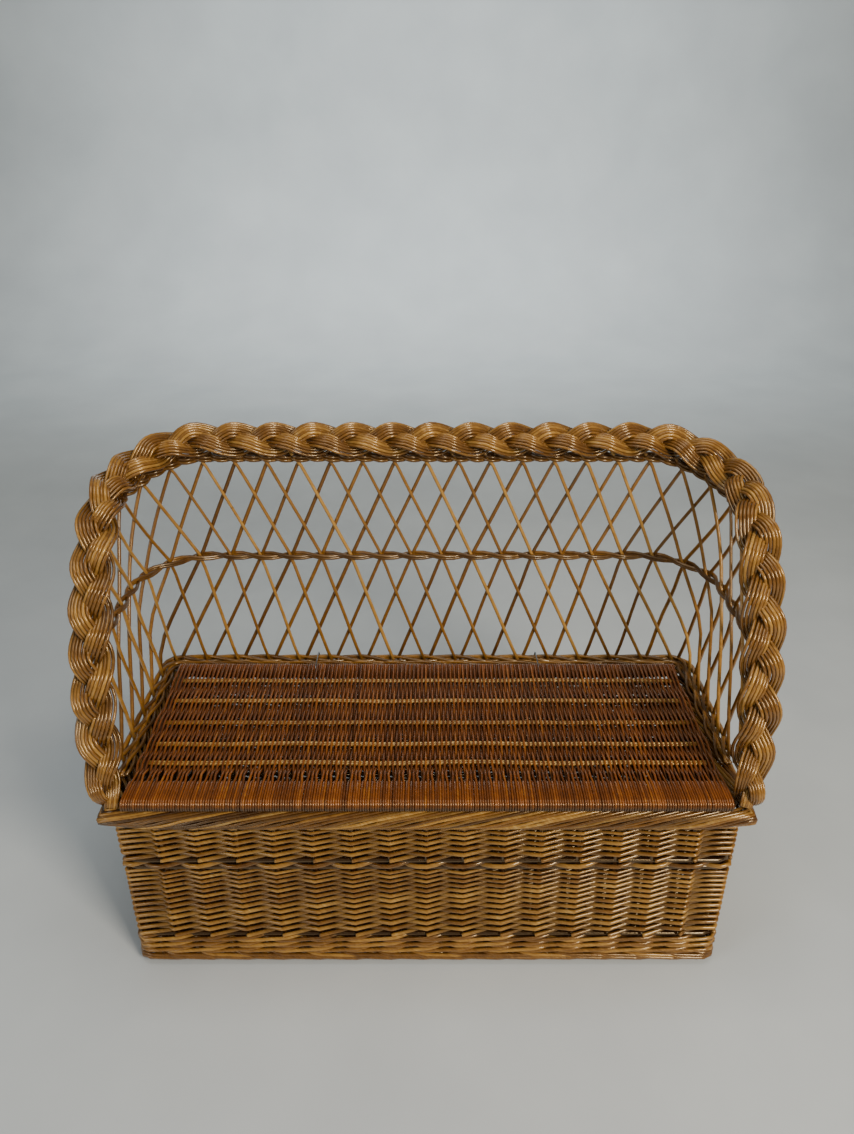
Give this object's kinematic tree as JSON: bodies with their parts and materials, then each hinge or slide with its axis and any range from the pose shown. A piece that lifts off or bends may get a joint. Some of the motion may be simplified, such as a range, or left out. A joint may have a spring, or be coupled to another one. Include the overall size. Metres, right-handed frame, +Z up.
{
  "type": "wicker storage bench",
  "caption": "Woven willow storage bench: a wicker chest with a hinged woven seat lid, an open lattice back and arms, and a thick plaited rim.",
  "frame": {"origin": "bottom centre of the whole bench, on the floor", "axes": "+X along the bench, to the right as seen from the front; +Y from the front to the back; +Z up"},
  "size_m": [1.0399, 0.4273, 0.8165],
  "materials": {
    "willow": "clear lacquered willow rods",
    "seat_willow": "red-brown lacquered willow rods",
    "frame_wood": "dark stained wood",
    "steel_wire": "plain steel wire"
  },
  "bodies": {
    "trunk": {"base_board": "frame_wood", "base_rail_back": "frame_wood", "base_rail_front": "frame_wood", "base_rail_left": "frame_wood", "base_rail_right": "frame_wood", "corner_post_back_left": "frame_wood", "corner_post_back_right": "frame_wood", "corner_post_front_left": "frame_wood", "corner_post_front_right": "frame_wood", "foot_border": "willow", "foot_waling": "willow", "hinge_loop_left": "steel_wire", "hinge_loop_right": "steel_wire", "lattice_inner_back": "willow", "lattice_inner_left": "willow", "lattice_inner_left_corner": "willow", "lattice_inner_right": "willow", "lattice_inner_right_corner": "willow", "lattice_outer_back": "willow", "lattice_outer_left": "willow", "lattice_outer_left_corner": "willow", "lattice_outer_right": "willow", "lattice_outer_right_corner": "willow", "lower_weave": "willow", "middle_waling": "willow", "plait_strand_1": "willow", "plait_strand_2": "willow", "plait_strand_3": "willow", "top_border": "willow", "upper_weave": "willow"},
    "lid": {"lid_back_rail": "seat_willow", "lid_cross_bar_1": "seat_willow", "lid_cross_bar_2": "seat_willow", "lid_cross_bar_3": "seat_willow", "lid_cross_bar_4": "seat_willow", "lid_cross_bar_5": "seat_willow", "lid_end_rail_left": "seat_willow", "lid_end_rail_right": "seat_willow", "lid_front_rail": "seat_willow", "seat_weave": "seat_willow"}
  },
  "joints": [
    {"name": "lid_hinge", "type": "hinge", "parent": "trunk", "child": "lid", "pos_m": [0, 0.143, 0.3608], "axis": [-1, 0, 0], "range_deg": [0, 75]}
  ]
}
